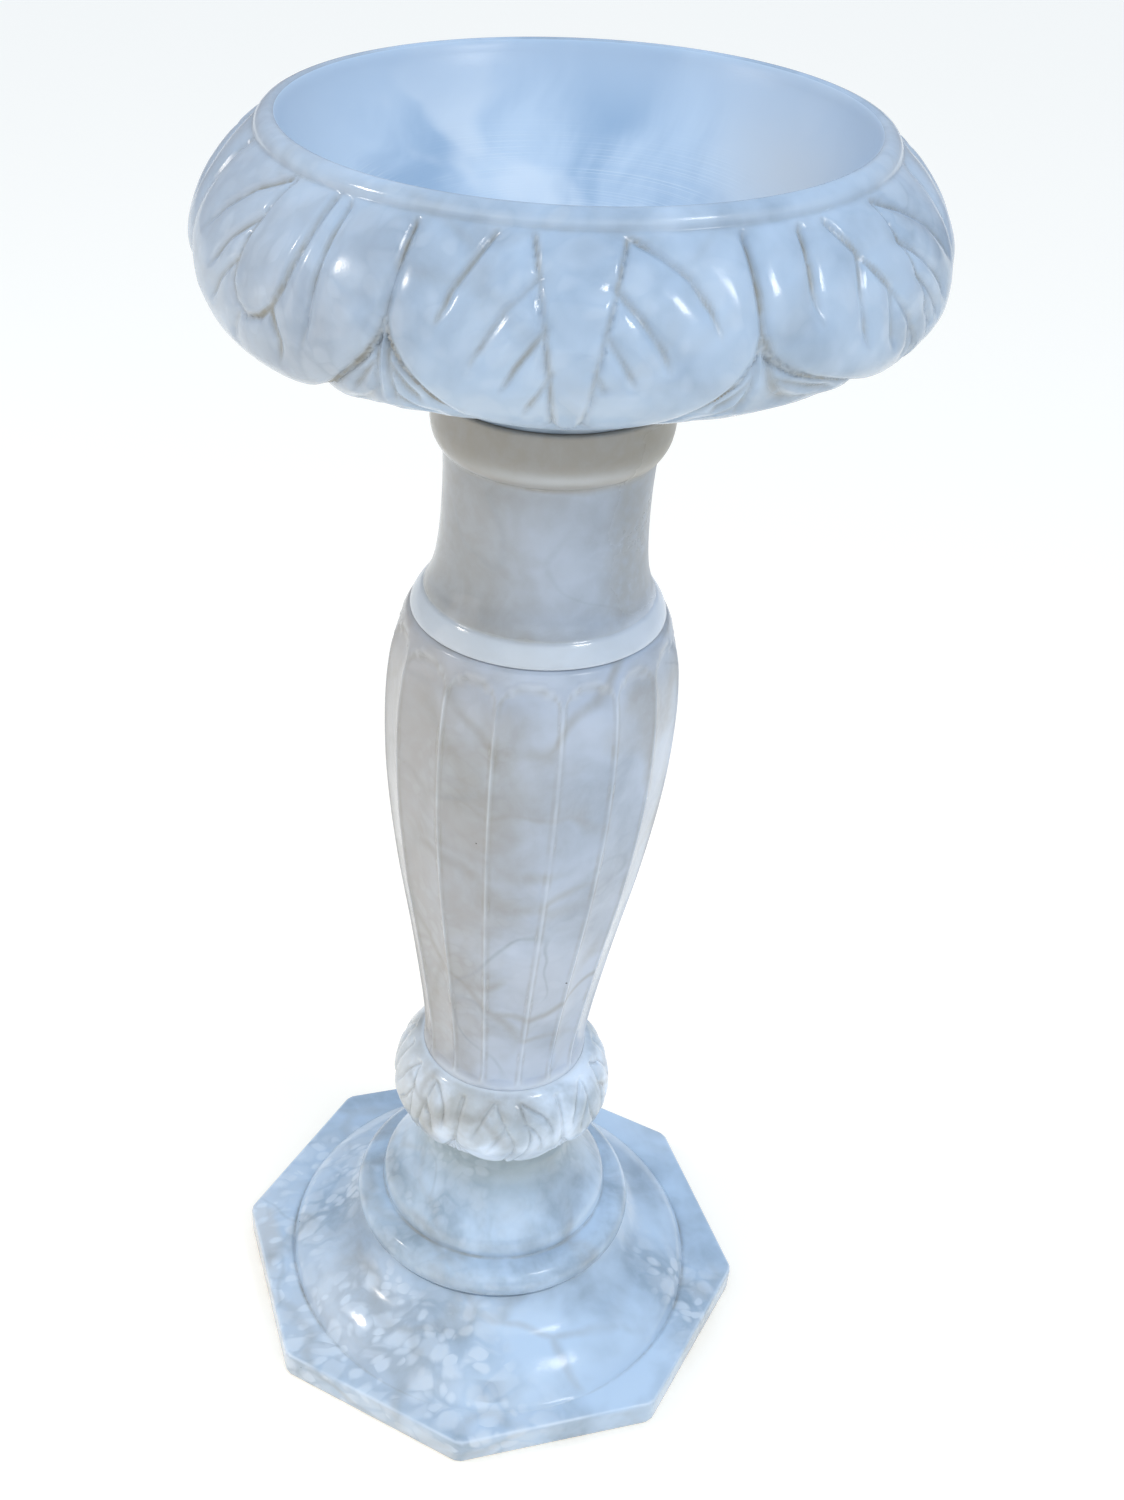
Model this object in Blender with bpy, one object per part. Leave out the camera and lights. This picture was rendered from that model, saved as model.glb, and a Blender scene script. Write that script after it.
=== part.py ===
"""A baptismal font: a shallow leaf-carved alabaster bowl on a fluted baluster pedestal.

The pedestal is a stack of turned stones threaded on one steel rod, with a thin bed of setting
compound in every joint. The bowl isn't clamped: it rests on the neck, located by the rod's end.
Lengths are in millimetres here and become metres when the meshes are made. +Z is up, and the
origin is at the middle of the plinth's underside.
"""

import math

import bmesh
import bpy

MM = 0.001
GAP = 0.3  # between neighbouring pieces

# Heights of the stack
SLAB_TOP = 25.0
PLINTH_TOP = 77.0
FOOT_TOP = 190.0
KNOP_SEAT = 250.0
KNOP_TOP = 258.8
SHAFT_TOP = 620.0
NECK_TOP = 758.0
RIM_TOP = 900.0

# Plan sizes
PLINTH_ACROSS_FLATS = 376.0
PLINTH_CORNER_RADIUS = 200.5  # the eight corners are rubbed down to this distance
MOUND_RADIUS = 161.5
TORUS_RADIUS = 109.5
TORUS_THICKNESS = 26.0
DOME_RADIUS = 88.8
KNOP_RADIUS = 82.0
SHAFT_RADIUS = 93.2
COLLAR_RADIUS = 70.0
BOWL_RADIUS = 200.5
RIM_RADIUS = 157.0
RIM_LAND = 3.0  # the narrow flat on top of the rim
SLAB_EDGE_RADIUS = 5.0
KNOP_LIP_BORE = 60.4

# How far each stone's flat underside reaches out
FOOT_FACE = 97.0
KNOP_FACE = 61.0
SHAFT_FACE = 58.5
NECK_FACE = 76.5

BASIN_FLOOR = 821.0

# Carving. Each stone is turned a little out of line with the ones below it.
FLUTES = 15
FLUTE_DEPTH = 3.4
FLUTE_TURN = math.radians(-109.7)
BOWL_LEAVES = 7
BOWL_LEAF_DEPTH = 6.0
BOWL_LEAF_TURN = math.radians(-106.0)
LEAF_TIP_HANG = 7.0  # how far the leaf tips hang below the skirt between them
KNOP_LEAVES = 6
KNOP_LEAF_DEPTH = 3.0
KNOP_LEAF_TURN = math.radians(-100.0)

# Tie rod and its fittings
BORE = 8.0
ROD_RADIUS = 6.0
ROD_BOTTOM = 4.0
ROD_TOP = 790.0
NUT_ACROSS_FLATS = 19.0
NUT_HEIGHT = 10.0
NUT_HOLE = ROD_RADIUS + GAP
WASHER_RADIUS = 18.0
WASHER_HOLE = 6.5
WASHER_THICKNESS = 2.5
NUT_POCKET_RADIUS = 24.0
NUT_POCKET_DEPTH = 20.0
NECK_POCKET_RADIUS = 20.0
BUSH_RADIUS = 9.0
BUSH_HOLE = 6.5
SOCKET_TOP = 797.0

# Setting beds: a shallow recess under each stone, filled by a ring of compound
BED_RECESS = 1.9
BED_INNER = 14.0
BED_LAND = 9.0  # how far the recess stays inside the stone's edge
BED_SHRINKAGE = 1.0  # the compound stops this far inside its recess

# Facets round the axis
ROUND_SIDES = 36
OCTAGON_SIDES = 48
SHAFT_SIDES = FLUTES * 4
KNOP_SIDES = KNOP_LEAVES * 6
BOWL_SIDES = BOWL_LEAVES * 8
METAL_SIDES = 18

ALABASTER_BLUE = (0.60, 0.66, 0.72, 1.0)
ALABASTER_WARM = (0.66, 0.64, 0.60, 1.0)
COMPOUND_GREY = (0.45, 0.43, 0.40, 1.0)
STEEL_GREY = (0.42, 0.42, 0.43, 1.0)
BRASS_YELLOW = (0.62, 0.48, 0.22, 1.0)


def clear_scene():
    for item in list(bpy.data.objects):
        bpy.data.objects.remove(item)


def make_material(name, colour, roughness, metallic):
    material = bpy.data.materials.new(name)
    material.use_nodes = True
    shader = material.node_tree.nodes["Principled BSDF"]
    shader.inputs["Base Color"].default_value = colour
    shader.inputs["Roughness"].default_value = roughness
    shader.inputs["Metallic"].default_value = metallic
    return material


def smooth_curve(points, steps=2):
    """Points on a Catmull-Rom curve through the given (radius, height) points, ends included."""
    ends = [points[0]] + list(points) + [points[-1]]
    result = []
    for a, b, c, d in zip(ends, ends[1:], ends[2:], ends[3:]):
        for step in range(steps):
            t = step / steps
            result.append(
                tuple(
                    0.5 * (2 * q + (r - p) * t + (2 * p - 5 * q + 4 * r - s) * t**2
                           + (3 * q - p - 3 * r + s) * t**3)
                    for p, q, r, s in zip(a, b, c, d)
                )
            )
    return result + [points[-1]]


def arc(centre, radius, start, end, steps):
    """Points on an arc from one angle to another, in degrees above the outward direction."""
    angles = [math.radians(start + (end - start) * i / steps) for i in range(steps + 1)]
    return [
        (centre[0] + radius * math.cos(a), centre[1] + radius * math.sin(a)) for a in angles
    ]


def bedded_face(outer, level):
    """The underside of a stone, from its bore out to its edge, with the recess for its bed."""
    ceiling = level + BED_RECESS
    return [
        (BORE, level),
        (BED_INNER, level),
        (BED_INNER, ceiling),
        (outer - BED_LAND, ceiling),
        (outer - BED_LAND, level),
        (outer, level),
    ]


def turned_piece(name, outline, sides, material, carve=None, first_angle=0.0):
    """Spins a closed (radius, height) outline about the axis. Radius 0 points lie on the axis.

    carve takes a turned point's radius, height and angle, and gives its carved radius and height.
    """
    mesh = bpy.data.meshes.new(name)
    shape = bmesh.new()
    turn = math.cos(first_angle), math.sin(first_angle)
    points = [
        shape.verts.new((r * turn[0] * MM, r * turn[1] * MM, z * MM)) for r, z in outline
    ]
    closed = outline[0][0] > 0
    pairs = zip(points, points[1:] + points[:1] if closed else points[1:])
    edges = [shape.edges.new(pair) for pair in pairs]
    bmesh.ops.spin(
        shape,
        geom=points + edges,
        axis=(0, 0, 1),
        cent=(0, 0, 0),
        steps=sides,
        angle=2 * math.pi,
        use_merge=True,
    )
    bmesh.ops.remove_doubles(shape, verts=shape.verts, dist=0.00001)
    if carve:
        carve_points(shape, carve)
    bmesh.ops.recalc_face_normals(shape, faces=shape.faces)
    shape.to_mesh(mesh)
    shape.free()
    piece = bpy.data.objects.new(name, mesh)
    bpy.context.collection.objects.link(piece)
    mesh.materials.append(material)
    mesh.shade_smooth()
    mesh.set_sharp_from_angle(angle=math.radians(35))
    return piece


def carve_points(shape, carve):
    for point in shape.verts:
        radius = math.hypot(point.co.x, point.co.y) / MM
        if radius < BORE:
            continue
        angle = math.atan2(point.co.y, point.co.x)
        new_radius, height = carve(radius, point.co.z / MM, angle)
        point.co.x *= new_radius / radius
        point.co.y *= new_radius / radius
        point.co.z = height * MM


def fade(value, low, high, soft):
    """1 between low and high, falling smoothly to 0 within soft of each end."""
    share = min(value - low, high - value) / soft
    share = max(0.0, min(1.0, share))
    return share * share * (3 - 2 * share)


def between(angle, turn, count):
    """Where an angle lies in its repeat: 0 at the middle of a leaf or flute, 1 at its edges."""
    width = 2 * math.pi / count
    offset = (angle - turn + width / 2) % width - width / 2
    return abs(offset) / (width / 2)


def octagon_edge(radius, height, angle):
    """Pushes the slab's round edge out to an octagon with rubbed corners."""
    if radius < MOUND_RADIUS + 5:
        return radius, height
    eighth = math.pi / 4
    offset = (angle + eighth / 2) % eighth - eighth / 2
    apothem = PLINTH_ACROSS_FLATS / 2
    edge = min(apothem / math.cos(offset), PLINTH_CORNER_RADIUS)
    return radius - apothem + edge, height


def carve_flutes(radius, height, angle):
    if radius < SHAFT_FACE:
        return radius, height
    hollow = 1 - between(angle, FLUTE_TURN, FLUTES) ** 2
    depth = FLUTE_DEPTH * fade(height, KNOP_TOP + 4, SHAFT_TOP - 12, 16)
    return radius - depth * hollow, height


def carve_bowl_leaves(radius, height, angle):
    """Cuts the valleys between the leaves, and lifts the skirt there so that the leaf tips hang."""
    on_wall = radius > RIM_RADIUS
    on_underside = radius > COLLAR_RADIUS and height < BASIN_FLOOR - 1
    if not (on_wall or on_underside):
        return radius, height
    valley = between(angle, BOWL_LEAF_TURN, BOWL_LEAVES) ** 6
    depth = BOWL_LEAF_DEPTH * fade(height, 790, RIM_TOP - 12, 14)
    lift = LEAF_TIP_HANG * fade(height, 790, 836, 16)
    return radius - depth * valley, height + lift * valley


def carve_knop_leaves(radius, height, angle):
    in_seat = radius < KNOP_LIP_BORE + 1
    if in_seat:
        return radius, height
    valley = between(angle, KNOP_LEAF_TURN, KNOP_LEAVES) ** 4
    return radius - KNOP_LEAF_DEPTH * valley * fade(height, 194, 254, 10), height


def plinth_outline():
    edge = PLINTH_ACROSS_FLATS / 2
    ogee = [
        (MOUND_RADIUS, SLAB_TOP + 1),
        (157.5, 36),
        (143, 46.5),
        (123, 56),
        (110, 69),
        (104, PLINTH_TOP),
    ]
    return (
        [
            (NUT_POCKET_RADIUS, NUT_POCKET_DEPTH),
            (NUT_POCKET_RADIUS, 0),
            (edge - 1.5, 0),
            (edge, 1.5),
        ]
        + arc((edge - SLAB_EDGE_RADIUS, SLAB_TOP - SLAB_EDGE_RADIUS), SLAB_EDGE_RADIUS, 0, 90, 2)
        + [(MOUND_RADIUS + 2, SLAB_TOP), (MOUND_RADIUS + 1, SLAB_TOP - 1)]
        + smooth_curve(ogee)
        + [(BORE, PLINTH_TOP), (BORE, NUT_POCKET_DEPTH)]
    )


def foot_dome_outline():
    bottom = PLINTH_TOP + GAP
    tube = TORUS_THICKNESS / 2
    torus = arc((TORUS_RADIUS - tube, bottom + tube), tube, -80, 75, 6)
    bell = [
        (DOME_RADIUS, 109),
        (85.5, 121),
        (71, 138),
        (58.5, 157),
        (56, 174),
        (60, FOOT_TOP),
    ]
    return (
        bedded_face(FOOT_FACE, bottom)
        + torus
        + [(DOME_RADIUS + 5.5, 104), (DOME_RADIUS - 1, 104.5)]
        + smooth_curve(bell)
        + [(BORE, FOOT_TOP)]
    )


def knop_outline():
    bottom = FOOT_TOP + GAP
    ring = [
        (63, bottom + 0.3),
        (74.5, 199.5),
        (81.2, 213),
        (KNOP_RADIUS, 223),
        (79.2, 237),
        (70.8, 250),
        (66, 255),
    ]
    lip = [(65.5, 257.8), (64, KNOP_TOP), (62, 258.2), (KNOP_LIP_BORE, 256)]
    return (
        bedded_face(KNOP_FACE, bottom)
        + smooth_curve(ring)
        + lip
        + [(KNOP_LIP_BORE, KNOP_SEAT), (BORE, KNOP_SEAT)]
    )


def shaft_outline():
    bottom = KNOP_SEAT + GAP
    vase = [
        (59.9, bottom + 1.5),
        (61, 288),
        (70.8, 357),
        (84, 435),
        (91.6, 500),
        (SHAFT_RADIUS, 552),
        (90.6, 588),
        (80.8, 618),
    ]
    return (
        bedded_face(SHAFT_FACE, bottom)
        + smooth_curve(vase)
        + [(79, SHAFT_TOP), (BORE, SHAFT_TOP)]
    )


def neck_outline():
    bottom = SHAFT_TOP + GAP
    band = [(77.8, bottom + 0.2), (78.6, 622), (74.5, 629), (69, 634), (67.4, 634.6)]
    hollow = [(66.8, 636.4), (63, 664), (60.8, 695), (62.4, 722)]
    collar = [
        (62.9, 725.5),
        (66.5, 729.5),
        (COLLAR_RADIUS, 741),
        (COLLAR_RADIUS, NECK_TOP - 1.5),
    ]
    pocket_floor = NECK_TOP - NUT_POCKET_DEPTH
    return (
        bedded_face(NECK_FACE, bottom)
        + band
        + smooth_curve(hollow)
        + smooth_curve(collar)
        + [
            (COLLAR_RADIUS - 1.5, NECK_TOP),
            (NECK_POCKET_RADIUS, NECK_TOP),
            (NECK_POCKET_RADIUS, pocket_floor),
            (BORE, pocket_floor),
        ]
    )


def bowl_outline():
    bottom = NECK_TOP + GAP
    outside = [
        (80, 760),
        (128, 786),
        (153, 797.5),
        (170, 804.5),
        (187, 814.5),
        (197.8, 826.5),
        (BOWL_RADIUS, 837),
        (197.6, 852),
        (190, 867),
        (178.5, 880),
        (167.5, 889.5),
    ]
    rim = [
        (165.5, 890.5),
        (164.8, 895),
        (161, 899),
        (RIM_RADIUS, RIM_TOP),
        (RIM_RADIUS - RIM_LAND, RIM_TOP),
    ]
    basin = [
        (RIM_RADIUS - RIM_LAND - 3, RIM_TOP - 3),
        (138, 878),
        (108, 851),
        (60, 829),
        (0, BASIN_FLOOR),
    ]
    socket = [(0, SOCKET_TOP), (BUSH_RADIUS + GAP, SOCKET_TOP), (BUSH_RADIUS + GAP, bottom)]
    return socket + [(COLLAR_RADIUS - 1.5, bottom)] + outside + rim + smooth_curve(basin)


def ring_outline(inner, outer, low, high):
    return [(inner, low), (outer, low), (outer, high), (inner, high)]


def make_stones():
    blue = make_material("alabaster_blue", ALABASTER_BLUE, 0.22, 0.0)
    warm = make_material("alabaster_warm", ALABASTER_WARM, 0.25, 0.0)
    turned_piece("plinth", plinth_outline(), OCTAGON_SIDES, blue, octagon_edge)
    turned_piece("foot_dome", foot_dome_outline(), ROUND_SIDES, blue)
    turned_piece(
        "leaf_knop", knop_outline(), KNOP_SIDES, warm, carve_knop_leaves, KNOP_LEAF_TURN
    )
    flute_edge = FLUTE_TURN + math.pi / FLUTES
    turned_piece("shaft", shaft_outline(), SHAFT_SIDES, warm, carve_flutes, flute_edge)
    turned_piece("neck", neck_outline(), ROUND_SIDES, warm)
    turned_piece(
        "bowl", bowl_outline(), BOWL_SIDES, blue, carve_bowl_leaves, BOWL_LEAF_TURN
    )


def make_beds():
    """One ring of setting compound in each stone joint below the bowl."""
    compound = make_material("setting_compound", COMPOUND_GREY, 0.9, 0.0)
    joints = {
        "plinth_bed": (PLINTH_TOP, FOOT_FACE),
        "foot_bed": (FOOT_TOP, KNOP_FACE),
        "knop_bed": (KNOP_SEAT, SHAFT_FACE),
        "shaft_bed": (SHAFT_TOP, NECK_FACE),
    }
    for name, (level, edge) in joints.items():
        outer = edge - BED_LAND - BED_SHRINKAGE
        outline = ring_outline(BED_INNER + GAP, outer, level + GAP, level + BED_RECESS)
        turned_piece(name, outline, METAL_SIDES, compound)


def make_nut(name, low, steel):
    """A hexagon nut: a six-sided ring whose bevelled top and bottom corners are cut back."""
    corner = NUT_ACROSS_FLATS / 2 / math.cos(math.pi / 6)
    high = low + NUT_HEIGHT
    outline = [
        (NUT_HOLE, low),
        (corner - 1.2, low),
        (corner, low + 1.0),
        (corner, high - 1.0),
        (corner - 1.2, high),
        (NUT_HOLE, high),
    ]

    def hexagon(radius, height, angle):
        if radius < NUT_HOLE + 1:
            return radius, height
        sixth = math.pi / 3
        offset = (angle + sixth / 2) % sixth - sixth / 2
        return min(radius, NUT_ACROSS_FLATS / 2 / math.cos(offset)), height

    turned_piece(name, outline, METAL_SIDES, steel, hexagon, math.pi / 6)


def make_rod_fittings():
    steel = make_material("steel", STEEL_GREY, 0.45, 1.0)
    brass = make_material("brass", BRASS_YELLOW, 0.4, 1.0)
    chamfer = 1.5
    rod = [
        (0, ROD_BOTTOM),
        (ROD_RADIUS - chamfer, ROD_BOTTOM),
        (ROD_RADIUS, ROD_BOTTOM + chamfer),
        (ROD_RADIUS, ROD_TOP - chamfer),
        (ROD_RADIUS - chamfer, ROD_TOP),
        (0, ROD_TOP),
    ]
    turned_piece("tie_rod", rod, METAL_SIDES, steel)

    bottom_washer = NUT_POCKET_DEPTH - GAP - WASHER_THICKNESS
    top_washer = NECK_TOP - NUT_POCKET_DEPTH + GAP
    for name, low in (("bottom_washer", bottom_washer), ("top_washer", top_washer)):
        outline = ring_outline(WASHER_HOLE, WASHER_RADIUS, low, low + WASHER_THICKNESS)
        turned_piece(name, outline, METAL_SIDES, steel)
    make_nut("bottom_nut", bottom_washer - GAP - NUT_HEIGHT, steel)
    make_nut("top_nut", top_washer + WASHER_THICKNESS + GAP, steel)

    bush = ring_outline(BUSH_HOLE, BUSH_RADIUS, NECK_TOP + 2 * GAP, SOCKET_TOP - 3)
    turned_piece("socket_bush", bush, METAL_SIDES, brass)


def main():
    clear_scene()
    make_stones()
    make_beds()
    make_rod_fittings()


main()
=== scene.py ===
"""A carved alabaster baptismal font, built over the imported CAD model.

The six stones are modelled again here with their carving and stand for their CAD solids. The rod,
nuts, washers, bush and setting beds keep their CAD shape and get a worn metal or mortar finish.
Outlines are (radius, height) in millimetres from the plinth's underside. They run from the bore or
the axis outwards underneath, up the outside, and back inwards over the top.
"""

import math

import bpy
import numpy as np
from mathutils import Matrix, Vector

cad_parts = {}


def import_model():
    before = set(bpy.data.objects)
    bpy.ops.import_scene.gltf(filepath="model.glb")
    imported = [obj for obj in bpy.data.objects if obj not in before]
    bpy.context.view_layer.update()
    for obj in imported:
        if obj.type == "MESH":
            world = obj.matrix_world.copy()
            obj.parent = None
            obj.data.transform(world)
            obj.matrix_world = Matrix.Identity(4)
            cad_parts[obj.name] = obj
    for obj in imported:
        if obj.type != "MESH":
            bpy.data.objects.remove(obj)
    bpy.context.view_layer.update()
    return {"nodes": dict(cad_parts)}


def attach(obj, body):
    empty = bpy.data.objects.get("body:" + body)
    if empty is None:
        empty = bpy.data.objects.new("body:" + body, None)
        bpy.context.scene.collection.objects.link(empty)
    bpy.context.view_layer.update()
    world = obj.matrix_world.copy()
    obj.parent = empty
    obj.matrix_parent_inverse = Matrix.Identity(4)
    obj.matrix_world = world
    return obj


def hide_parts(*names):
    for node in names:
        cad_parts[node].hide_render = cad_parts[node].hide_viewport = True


MM = 0.001

# Camera, matched to the photograph
CAMERA_PLACE = (-0.3130, -0.8718, 1.1281)
CAMERA_HEADING = -15.232  # degrees from +Y, anticlockwise
CAMERA_TILT = -40.52
CAMERA_ROLL = 1.56
CAMERA_LENS = 40.42
CAMERA_SENSOR = 36.0
CAMERA_SHIFT = (0.1019, 0.1338)
CAMERA_AZIMUTH = -109.75  # where the camera stands, seen from the font's axis

BORE = 8.0
BED_RECESS = 1.9
COLLAR = 70.0
SHARP_ANGLE = 50  # degrees between two faces above which their edge is shaded sharp
WAVES = 7  # sine waves in each smooth noise

# Carving of the bowl. A leaf is laid out in degrees from its middle and millimetres down the wall
# from the groove under the rim.
BOWL_LEAVES = 7
BOWL_TURN = -107.8
BOWL_RADIUS = 196.0
BOWL_GROOVE = (163.6, 892.0)
RIM_EDGE = (162.4, 895.6)  # the rim's outer edge, along which a highlight line is painted
# How many degrees each rib stands to one side of its leaf's middle, at the top and at the foot.
RIB_SHIFT = ((0.3, 0.1), (-4.0, 13.0), (0, -1), (1, 1.5), (0, -2), (-1, 1), (5.0, -0.9))
RIB_FOOT = 95.0
CARVING_END = (122, 158)  # how far down the carving starts to fade out, and where it is gone
# On the left the wall is fuller below its widest line: by how much, at which bearing and how far down.
FULLER = 5.0
FULLER_BEARING = -46
FULLER_DOWN = 102
TONGUE_LEAVES = (3, 6)  # leaves whose rib is a broad tongue with a round end
# Whether the veins to the left and right of each rib are the straighter kind.
STRAIGHT_LEFT = (True, True, True, False, False, True, False)
STRAIGHT_RIGHT = (False, False, False, True, False, False, True)
BASIN_MOUTH = 0.1525  # metres from the axis, at the inner side of the rim
BASIN_FLOOR = 0.815  # metres up, just below the basin's floor

KNOP_LEAVES = 6
KNOP_TURN = -102.0
KNOP_RADIUS = 82.0
KNOP_CUT = 0.62  # depth of the knop's carving beside the bowl's
KNOP_TOP = (66.0, 255.0)  # where the knop's leaves start and end
KNOP_FOOT = (63.0, 190.6)
KNOP_REACH = 103 / 0.95  # how far down the bowl's leaf pattern a whole knop leaf reaches

FLUTES = 15
FLUTE_TURN = -109.7
FLUTE_DEPTH = 3.2
FLUTE_TOP = 612.0
FLUTE_FOOT = 262.5
SHAFT_SEAT = 58.6  # the fluted wall lies outside this radius
# How far each arris between two flutes strays from an even spacing, in degrees.
ARRIS_STRAY = (1.0, -0.5, -3.0, -0.5, -3.0, 0.5, 1.5, -1.0, 0.8, -1.5, 1.2, 0.4, -0.8, 1.4, -0.6)

SLAB_APOTHEM = 188.0
SLAB_CORNER = 202.3  # radius of the rubbed corners
SLAB_TOP = 25.0
SLAB_ROUND = 2.6
STEP_FOOT = 161.5  # radius of the mound's step, where it rises from the slab

# Colours as sRGB bytes
LUMP_WHITE = (218, 224, 230)
VEIN_GREY = (132, 141, 146)
VEIN_TAN = (150, 146, 138)
# Grime in the grooves, also laid as painted shade in creases and on shaded sides
GRIME_AND_SHADE = (142, 136, 120)
PIT = (60, 54, 48)
BLUE_MILK = (176, 193, 211)
BASIN_GROUND = (150, 174, 198)
BASIN_MILK = (188, 204, 220)
BASIN_STAIN = (196, 190, 184)
MORTAR_DARK = (150, 142, 128)
MORTAR_PALE = (196, 190, 176)
# A metal and its tarnish
STEEL = ((150, 150, 152), (104, 84, 66))
BRASS = ((196, 160, 96), (110, 92, 58))
# A stone's ground, its milky clouds, and a warm tone laid in stain patches, as painted warm light on the
# left and as painted shade at the top
BLUE = ((143, 160, 178), BLUE_MILK, (174, 176, 180))
BASE = ((153, 169, 184), (190, 208, 226), (208, 203, 198))
# The dome's third tone stands mostly for painted shade at its top, under the knop, and the collar's tan
# for painted shade under the bowl
DOME = (*BASE[:2], (150, 160, 160))
PALE = ((159, 169, 182), (188, 198, 213), (166, 160, 154))
TAN = (*PALE[:2], (148, 140, 125))
CREAM = ((176, 186, 194), (222, 232, 244), (182, 173, 156))

# The stone's polish and translucency
TRANSLUCENCY = 0.25
SCATTER_DEPTH = 0.006  # metres
SCATTER_COLOUR = (1.0, 0.9, 0.8)
STONE_IOR = 1.52

# The stage, with linear colours and lengths in metres
HORIZON = (0.38, 0.39, 0.42, 1.0)
OVERHEAD = (0.82, 1.0, 1.22, 1.0)
FLOOR = (0.97, 0.93, 0.86)
FLOOR_GLOW = (0.21, 0.15, 0.08, 1.0)
FLOOR_REACH = 12.0
LIGHT_AIM = (0, 0, 0.5)
# Each soft light: degrees to the right of the camera, degrees up, metres away, width and height in
# metres, radiance and colour.
LIGHTS = {
    "window": (14, 34, 2.4, 3.4, 1.7, 0.8, (0.9, 0.96, 1.0)),
    "glint_right": (54, 50, 3.0, 0.5, 0.5, 14, (1.0, 0.98, 0.96)),
    "glint_left": (-80, 40, 2.6, 0.2, 0.2, 60, (1.0, 0.93, 0.84)),
    "warm_bounce": (-75, 12, 2.6, 1.6, 1.6, 0.9, (1.0, 0.9, 0.8)),
}

FRONT_RIGHT = (0.969, -0.246, 0.0)  # to the right, seen from the front
LUMPY_SIDE = (-0.883, -0.470, 0.0)  # the side where most milky lumps lie
CREASE = "crease"  # where grime gathers and shade is painted, stored on each vertex from 0 to 1
HIGHLIGHT_AND_WEAR = "highlight_and_wear"  # where a highlight is painted along edges and lips, partly wear, stored in the same way


# ---------------- numbers


def smooth(x, low, high):
    """0 at or below low, 1 at or above high, and smooth between."""
    t = np.clip((x - low) / (high - low), 0.0, 1.0)
    return t * t * (3 - 2 * t)


def bump(distance, width):
    """1 where distance is 0, falling off smoothly on both sides over about width."""
    return np.exp(-((distance / width) ** 2))


def wander(x, y, z, size, seed):
    """Smooth noise in about -1 to 1 whose features are about size long."""
    random = np.random.default_rng(seed)
    total = 0.0
    for _ in range(WAVES):
        direction = random.normal(size=3)
        direction /= np.linalg.norm(direction)
        pitch = 2 * math.pi / (size * random.uniform(0.7, 1.8))
        phase = random.uniform(0, 2 * math.pi)
        total = total + np.sin((x * direction[0] + y * direction[1] + z * direction[2]) * pitch + phase)
    return total / math.sqrt(WAVES)


def line_distance(x, y, points):
    """Distance of every (x, y) from the polyline through points, and how far along it, from 0 to 1."""
    nearest = np.full(x.shape, 1e9)
    along = np.zeros(x.shape)
    lengths = [math.dist(a, b) for a, b in zip(points, points[1:])]
    done = 0.0
    for (ax, ay), (bx, by), length in zip(points, points[1:], lengths):
        t = ((x - ax) * (bx - ax) + (y - ay) * (by - ay)) / length**2
        t = np.clip(t, 0.0, 1.0)
        distance = np.hypot(x - ax - t * (bx - ax), y - ay - t * (by - ay))
        closer = distance < nearest
        nearest = np.where(closer, distance, nearest)
        along = np.where(closer, (done + t * length) / sum(lengths), along)
        done += length
    return nearest, along


def curve(points, step):
    """Points about step apart on a Catmull-Rom curve through the given ones, ends included."""
    ends = [points[0]] + list(points) + [points[-1]]
    result = []
    for a, b, c, d in zip(ends, ends[1:], ends[2:], ends[3:]):
        count = max(1, round(math.dist(b, c) / step))
        for i in range(count):
            t = i / count
            result.append(
                tuple(
                    0.5 * (2 * q + (r - p) * t + (2 * p - 5 * q + 4 * r - s) * t**2
                           + (3 * q - p - 3 * r + s) * t**3)
                    for p, q, r, s in zip(a, b, c, d)
                )
            )
    return result + [points[-1]]


def line(points, step):
    """Points about step apart on the straight lines between the given ones, ends included."""
    result = []
    for a, b in zip(points, points[1:]):
        count = max(1, round(math.dist(a, b) / step))
        for i in range(count):
            result.append(tuple(p + (q - p) * i / count for p, q in zip(a, b)))
    return result + [points[-1]]


def arc(centre, radius, start, end, steps):
    angles = [math.radians(start + (end - start) * i / steps) for i in range(steps + 1)]
    return [(centre[0] + radius * math.cos(a), centre[1] + radius * math.sin(a)) for a in angles]


# ---------------- turned meshes


def new_object(name, data):
    thing = bpy.data.objects.new(name, data)
    bpy.context.scene.collection.objects.link(thing)
    return thing


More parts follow.
